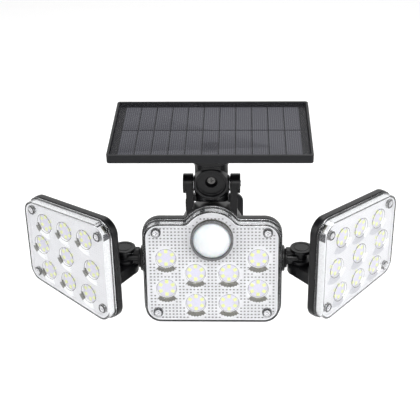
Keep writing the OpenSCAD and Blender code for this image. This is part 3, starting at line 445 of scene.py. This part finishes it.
# A film copies its reflector's upright wall, whose faces lie within wall_step of the edge.
film_front, film_rear, film_seat, film_thick = 2.6, 10.0, 0.06, 0.16
wall_step, wall_slack, upright_below, halfway = 4.7, 0.4, 0.1, 4.0
for head in heads:
    strip = bmesh.new()
    strip.from_mesh(nodes[head + "_reflector"].data)
    bmesh.ops.remove_doubles(strip, verts=strip.verts, dist=weld_reach)
    bmesh.ops.transform(strip, matrix=heads[head].inverted(), verts=strip.verts)
    bmesh.ops.recalc_face_normals(strip, faces=strip.faces)
    middles = {f: f.calc_center_median() for f in strip.faces}
    spare = [f for f, spot in middles.items()
             if abs(f.normal.y) > upright_below or edge_room(head, spot.x, spot.z) > wall_step + wall_slack]
    bmesh.ops.delete(strip, geom=spare, context="FACES")
    strip.normal_update()
    outward = {v: v.normal.copy() for v in strip.verts}
    for v in strip.verts:
        v.co += outward[v] * film_seat
        v.co.y = film_front if v.co.y < halfway else film_rear
    back = bmesh.ops.duplicate(strip, geom=strip.verts[:] + strip.edges[:] + strip.faces[:])
    pairs = {old: new for old, new in back["vert_map"].items() if old in outward}
    rims = [edge for edge in back["edge_map"]
            if edge.is_valid and edge.is_boundary and edge.verts[0] in outward]
    for old in pairs:
        old.co += outward[old] * film_thick
    for edge in rims:
        one, two = edge.verts
        strip.faces.new((one, two, pairs[two], pairs[one]))
    bmesh.ops.recalc_face_normals(strip, faces=strip.faces)
    bmesh.ops.transform(strip, matrix=heads[head], verts=strip.verts)
    bmesh.ops.recalc_face_normals(strip, faces=strip.faces)
    shown(strip, head + "_edge_film", head + "_head", film_finish(head),
          layout=heads[head].inverted())

# Covers: clear acrylic trays with a flange, a round pad over each LED ring and a deep
# well for each screw. The LEDs shine through them.
clear_acrylic = Finish("clear_acrylic", Base_Color=(0.97, 0.98, 1.0), IOR=1.45, Transmission_Weight=1.0)
clear_acrylic.drive("Roughness", clear_acrylic.spread(clear_acrylic.noise(300.0), 0.0, 0.02))


def lets_lamps_through(finish):
    """Puts a clear shader in for shadow and diffuse rays, so that light reaches what is behind."""
    shadow = finish.add("ShaderNodeLightPath", out="Is Shadow Ray")
    either = shadow.most(shadow.also("Is Diffuse Ray"))
    open_air = finish.add("ShaderNodeBsdfTransparent")
    solid = Signal(finish, finish.shader.outputs[0])
    mix = finish.add("ShaderNodeMixShader", None, {0: either, 1: solid, 2: open_air})
    finish.put(finish.output.inputs["Surface"], mix)


def on_rim(head, depth, room, reach=0.3, slack=1.5):
    """A test for edges that run along a head's outline, at one depth and one step in from it."""
    flat = heads[head].inverted()

    def test(middle):
        spot = flat @ middle
        return abs(spot.y - depth) < reach and abs(edge_room(head, spot.x, spot.z) - room) < slack
    return test


lets_lamps_through(clear_acrylic)
face_depth, face_rim, face_round = 0.0, 2.2, 1.7
for head in heads:
    moulded(head + "_cover", edge=0.4, finish=clear_acrylic, slot="clear_cover", pierced=True,
            broad=on_rim(head, face_depth, face_rim), broad_edge=face_round)

# Prisms: rows of small blunt pyramids moulded on the inside of each cover's face to
# break up the light, left out around the lenses, the sensor and the screws. They are as clear as the cover;
# their grey and pale grey colours are painted shade for the dark that they refract.
# Painted shade: grey for the main head's prisms.
prism = Finish("prism_painted_shade", IOR=1.45)
prism_tone = prism.noise(90.0, 2.0, 0.5)
prism.drive("Base Color", prism.blend(prism_tone, (0.10, 0.098, 0.095), (0.22, 0.215, 0.21)))
prism.drive("Roughness", prism.spread(prism_tone, 0.2, 0.35))
# Painted shade, fainter, for the side heads' prisms.
faint_prism = Finish("prism_painted_faint_shade", IOR=1.45)
faint_tone = faint_prism.noise(60.0, 2.0, 0.5)
faint_prism.drive("Base Color", faint_prism.blend(faint_tone, (0.60, 0.60, 0.62), (0.80, 0.80, 0.82)))
faint_prism.drive("Roughness", faint_prism.spread(faint_tone, 0.2, 0.35))
prism_depth, prism_height, base_half, top_half = 2.35, 0.6, 0.7071, 0.35
rows_each_way = 22
main_screw_x, main_screw_h = 58.7, 46.8
side_screw_x, inner_screw_h, outer_screw_h = 52.5, 43.9, 39.1
main_screws = [(x, h) for x in (-main_screw_x, main_screw_x) for h in (-main_screw_h, main_screw_h)]
side_screws = [(x, sign * h) for x, h in ((-side_screw_x, inner_screw_h), (side_screw_x, outer_screw_h))
               for sign in (1, -1)]
screws = {"main": main_screws, "left": side_screws, "right": side_screws}
sensor_height, screw_clear, sensor_clear = 39.2, 5.8, 23.8


def nearest(x, h, spots):
    """Distance to the nearest of some places, and that place."""
    return min((math.hypot(x - a, h - b), (a, b)) for a, b in spots)


def stays_bare(head, x, h, room, clear, plate_reach, plate_first, plate_last):
    """True near the edge, the screws and the sensor, over a lens, and over a plate beside one."""
    lens_off, (a, b) = nearest(x, h, lenses[head])
    turn = math.degrees(math.atan2(h - b, x - a)) % 360.0
    if lens_off < clear or (lens_off < plate_reach and plate_first < turn < plate_last):
        return True
    if head == "main" and math.hypot(x, h - sensor_height) < sensor_clear:
        return True
    return edge_room(head, x, h) < room or nearest(x, h, screws[head])[0] < screw_clear


def prisms(head, finish, pitch_x, pitch_h, wide, tall, **limits):
    """Covers a head's face with rows of pyramids; pitches and limits in millimetres and degrees."""
    rows = bmesh.new()
    quarter = Matrix.Rotation(math.pi / 4, 4, "Z")
    shape = Matrix.Diagonal((wide, 1.0, tall, 1.0)) @ Matrix.Rotation(-math.pi / 2, 4, "X") @ quarter
    for i in range(-rows_each_way, rows_each_way + 1):
        for j in range(-rows_each_way, rows_each_way + 1):
            x, h = i * pitch_x, j * pitch_h
            if not stays_bare(head, x, h, **limits):
                place = Matrix.Translation((x, prism_depth, h))
                bmesh.ops.create_cone(rows, cap_ends=True, segments=4, radius1=base_half, radius2=top_half,
                                      depth=prism_height, matrix=place @ shape)
    bmesh.ops.transform(rows, matrix=heads[head], verts=rows.verts)
    bmesh.ops.recalc_face_normals(rows, faces=rows.faces)
    shown(rows, head + "_prisms", head + "_head", finish)


prisms("main", prism, pitch_x=3.84, pitch_h=3.72, wide=1.9, tall=1.4, room=7.6, clear=13.6,
       plate_reach=17.6, plate_first=229, plate_last=311)
prisms("left", faint_prism, pitch_x=3.0, pitch_h=3.0, wide=1.1, tall=0.7, room=8.5, clear=12.4,
       plate_reach=20.6, plate_first=253, plate_last=338)
prisms("right", faint_prism, pitch_x=3.0, pitch_h=3.0, wide=1.1, tall=0.7, room=8.5, clear=12.4,
       plate_reach=20.2, plate_first=227, plate_last=339)

# Cover screws: bright zinc pan heads sunk in the covers' wells, screwed into bosses
# of the housings.
bright_zinc = Finish("bright_zinc", Metallic=1.0)
polish = bright_zinc.noise(1200.0, 3.0, 0.6)
bright_zinc.drive("Base Color", bright_zinc.blend(polish, (0.55, 0.55, 0.57), (0.78, 0.78, 0.80)))
bright_zinc.drive("Roughness", bright_zinc.spread(polish, 0.16, 0.28))
moulded("main_cover_screws", "left_cover_screws", "right_cover_screws", edge=0.5, finish=bright_zinc,
        slot="screw_steel")

# Motion sensor: a dark grey ring pressed into the cover, a milky polyethylene dome
# with small lens facets moulded inside, and the metal-cased element behind it.
ring_grey = Finish("ring_grey", IOR=1.5)
ring_tone = ring_grey.noise(240.0, 3.0, 0.6)
ring_grey.drive("Base Color", ring_grey.blend(ring_tone, (0.10, 0.10, 0.105), (0.15, 0.15, 0.155)))
ring_grey.drive("Roughness", ring_grey.spread(ring_tone, 0.22, 0.34))
moulded("sensor_ring", edge=0.7, finish=ring_grey, slot="sensor_ring")

milky = Finish("milky_dome", IOR=1.5, Subsurface_Weight=0.15, Subsurface_Scale=0.004)
facets = milky.add("ShaderNodeTexVoronoi", {"feature": "F1"}, {"Vector": milky.here(), "Scale": 240.0})
milky.drive("Base Color", milky.blend(facets.held(), (0.84, 0.86, 0.87), (0.79, 0.82, 0.84)))
milky.drive("Roughness", milky.spread(milky.noise(300.0), 0.28, 0.4))
milky.grain(facets, 0.12, 0.0004)
wear("sensor_dome", finish=milky)

can = Finish("steel_can", Metallic=1.0)
can_tone = can.noise(800.0, 3.0, 0.6)
can.drive("Base Color", can.blend(can_tone, (0.5, 0.5, 0.5), (0.65, 0.65, 0.65)))
can.drive("Roughness", can.spread(can_tone, 0.25, 0.4))
wear("sensor_element", finish=can)

# Control board, battery and mode button: the green board with its black parts, the
# shrink-wrapped cell in a moulded cradle, and a grey button that pops out of the back.
green_mask = Finish("green_mask", IOR=1.5)
tracks = green_mask.noise(420.0, 1.0, 0.3)
green_mask.drive("Base Color", green_mask.blend(tracks, (0.01, 0.09, 0.04), (0.03, 0.16, 0.07)))
green_mask.drive("Roughness", green_mask.spread(tracks, 0.25, 0.4))
wear("control_board", finish=green_mask)

part_black = Finish("part_black", IOR=1.5)
part_tone = part_black.noise(900.0, 2.0, 0.5)
part_black.drive("Base Color", part_black.blend(part_tone, (0.012, 0.012, 0.012), (0.03, 0.03, 0.03)))
part_black.drive("Roughness", part_black.spread(part_tone, 0.5, 0.7))
wear("control_parts", "battery_cradle", "button_switch", finish=part_black)

wrap = Finish("blue_wrap", IOR=1.5, Coat_Weight=0.4)
crinkle = wrap.noise(220.0, 4.0, 0.6)
wrap.drive("Base Color", wrap.blend(crinkle, (0.012, 0.09, 0.26), (0.02, 0.13, 0.36)))
wrap.drive("Roughness", wrap.spread(crinkle, 0.2, 0.35))
wrap.grain(crinkle, 0.2, 0.0002)
wear("battery_cell", finish=wrap)

button_grey = Finish("button_grey", IOR=1.5)
thumb = button_grey.noise(700.0, 3.0, 0.6)
button_grey.drive("Base Color", button_grey.blend(thumb, (0.045, 0.045, 0.048), (0.065, 0.065, 0.07)))
button_grey.drive("Roughness", button_grey.spread(thumb, 0.4, 0.55))
moulded("mode_button", edge=0.4, finish=button_grey, slot="button_grey")

# Arms, hinge pins and side housings: black ABS as the main housing is. Each arm turns
# in its socket. A capped pin goes down through the arm's knuckle and is pressed into
# the pod of the side head, which turns with it.
moulded("left_arm", "right_arm", edge=0.6, finish=black_abs, slot="black_plastic")
moulded("left_hinge_pin", "right_hinge_pin", edge=0.5, finish=black_abs, slot="black_plastic")
shell_depth, outer_rim, back_round = 20.6, 0.0, 3.2
for head in ("left", "right"):
    moulded(head + "_housing", edge=0.8, finish=black_abs, slot="black_plastic",
            broad=on_rim(head, shell_depth, outer_rim), broad_edge=back_round)

# Knuckle and neck: the block tilts between the ears, and the neck rolls on its tongue
# under the panel, both black ABS; one pan-head screw shows in the round boss.
moulded("knuckle_block", edge=0.8, finish=black_abs, slot="black_plastic")
moulded("panel_neck", edge=0.8, finish=black_abs, slot="black_plastic")
dark_steel = Finish("dark_steel", Metallic=1.0)
steel_tone = dark_steel.noise(900.0, 3.0, 0.6)
dark_steel.drive("Base Color", dark_steel.blend(steel_tone, (0.10, 0.10, 0.10), (0.18, 0.175, 0.17)))
dark_steel.drive("Roughness", dark_steel.spread(steel_tone, 0.22, 0.36))
moulded("roll_screw", edge=0.5, finish=dark_steel, slot="bolt_steel")

# Solar panel: a charcoal moulded frame with a fine spark-eroded grain round a dark
# board, on which 22 silicon strips lie under a clear sheet.
charcoal = Finish("charcoal_frame", IOR=1.5, Specular_IOR_Level=0.2)
spark = charcoal.noise(3200.0, 2.0, 0.7)
charcoal.drive("Base Color", charcoal.blend(spark, (0.007, 0.0072, 0.0082), (0.016, 0.0165, 0.0185)))
charcoal.drive("Roughness", charcoal.spread(spark, 0.42, 0.55))
charcoal.grain(spark, 0.3, 0.0003)
moulded("panel_frame", edge=0.5, finish=charcoal, slot="panel_frame")

ear_depth, ear_height, panel_lean = 23.0, 94.7, math.radians(12.0)
panel_back, panel_rise = 11.6, 60.5
in_panel = (in_main @ Matrix.Translation((0, ear_depth, ear_height)) @ Matrix.Rotation(panel_lean, 4, "X")
            @ Matrix.Translation((0, panel_back, panel_rise)))
flat_panel = Matrix.Rotation(math.pi / 2, 4, "X") @ in_panel.inverted()

board_dark = Finish("panel_board", IOR=1.5, Specular_IOR_Level=0.12)
board_tone = board_dark.noise(500.0, 2.0, 0.5)
board_dark.drive("Base Color", board_dark.blend(board_tone, (0.010, 0.010, 0.011), (0.017, 0.017, 0.019)))
board_dark.drive("Roughness", board_dark.spread(board_tone, 0.4, 0.55))
wear("panel_backing", finish=board_dark)

silicon = Finish("silicon_strips", IOR=1.5, Specular_IOR_Level=0.12)
across = silicon.chart()[0]
first_cell, cell_pitch, finger_pitch, finger_half, line_share = 91.0, 16.645, 2.08, 0.5, 0.8
finger = ((across + first_cell) % cell_pitch) % finger_pitch
lines = (finger - finger_pitch / 2).inside(finger_half)
tone = silicon.noise(22.0, 2.0, 0.5)
base = silicon.blend(tone, (0.051, 0.052, 0.067), (0.058, 0.058, 0.071))
silicon.drive("Base Color", silicon.blend(lines * line_share, base, (0.105, 0.105, 0.118)))
silicon.drive("Roughness", silicon.spread(tone, 0.35, 0.5))
moulded("panel_cells", edge=0.1, finish=silicon, slot="panel_cells", layout=flat_panel, segments=1)

sheet = Finish("clear_sheet", Base_Color=(0.05, 0.05, 0.06), IOR=1.45, Specular_IOR_Level=0.1)
haze = sheet.noise(60.0, 2.0, 0.5)
sheet.drive("Alpha", sheet.spread(haze, 0.07, 0.11))
sheet.drive("Roughness", sheet.spread(haze, 0.16, 0.24))
moulded("panel_glass", edge=0.2, finish=sheet, slot="panel_glass")

# Studio: a pale floor well below the light, soft lamps, and a camera where the
# photograph was taken from.
pale = Finish("pale_floor", Roughness=0.9, Base_Color=(0.9, 0.9, 0.9), Emission_Strength=1.0)
seen_straight = pale.add("ShaderNodeLightPath", out="Is Camera Ray")
pale.drive("Emission Color", pale.blend(seen_straight, (0.0, 0.0, 0.0), (0.36, 0.36, 0.36)))
floor_half, floor_drop = 6.0, 0.30
floor = bmesh.new()
bmesh.ops.create_grid(floor, x_segments=1, y_segments=1, size=floor_half)
mesh = bpy.data.meshes.new("floor")
floor.to_mesh(mesh)
floor.free()
mesh.materials.append(pale.material)
ground = bpy.data.objects.new("floor", mesh)
ground.location.z = -floor_drop
bpy.context.scene.collection.objects.link(ground)

azimuth, elevation, roll = math.radians(2.11), math.radians(28.36), math.radians(-0.95)
aim_distance = 1.0
back = Vector((math.sin(azimuth), -math.cos(azimuth), 0.0)) * math.cos(elevation)
back.z = math.sin(elevation)
right = Vector((math.cos(azimuth), math.sin(azimuth), 0.0))
up = back.cross(right)
side = right * math.cos(roll) + up * math.sin(roll)
top = up * math.cos(roll) - right * math.sin(roll)
aim = Vector((-0.0011, -0.11174, 0.08269))
spot = aim + back * aim_distance
camera = bpy.data.cameras.new("camera")
camera.sensor_width, camera.lens = 36.0, 83.854
camera.clip_start, camera.clip_end = 0.05, 20.0
eye = bpy.data.objects.new("camera", camera)
turned = Matrix((side, top, back)).transposed()
eye.matrix_world = Matrix.Translation(spot) @ turned.to_4x4()
bpy.context.scene.collection.objects.link(eye)
bpy.context.scene.camera = eye

object_middle, bracket_middle = (0.0, -0.1, 0.05), (0.0, -0.1, 0.1)


def lamp(name, place, target, size, power):
    """A square soft lamp aimed at a place; sizes in metres, power in watts."""
    light = bpy.data.lights.new(name, "AREA")
    light.shape, light.size, light.energy = "SQUARE", size, power
    holder = bpy.data.objects.new(name, light)
    holder.location = place
    holder.rotation_euler = (Vector(target) - Vector(place)).to_track_quat("-Z", "Y").to_euler()
    bpy.context.scene.collection.objects.link(holder)


lamp("key", place=(0.4, -1.6, 1.8), target=object_middle, size=1.2, power=24.0)
lamp("fill", place=(-1.6, -1.2, 0.8), target=object_middle, size=1.4, power=13.0)
lamp("side", place=(1.7, -1.1, 0.7), target=object_middle, size=1.4, power=17.0)
lamp("rim", place=(0.2, 0.9, 1.6), target=bracket_middle, size=1.0, power=12.0)

world = bpy.data.worlds.new("studio")
world.use_nodes = True
surround = Wiring(world.node_tree)
background = world.node_tree.nodes["Background"]
surround.put(background.inputs["Color"], (1.0, 1.0, 1.0))
light_level, seen_level = 0.45, 1.0
rays = surround.add("ShaderNodeLightPath", out="Is Camera Ray")
seen = rays.most(rays.also("Is Transmission Ray")).most(rays.also("Is Glossy Ray"))
surround.put(background.inputs["Strength"], surround.spread(seen, light_level, seen_level))
bpy.context.scene.world = world
bpy.context.scene.view_settings.view_transform = "Standard"
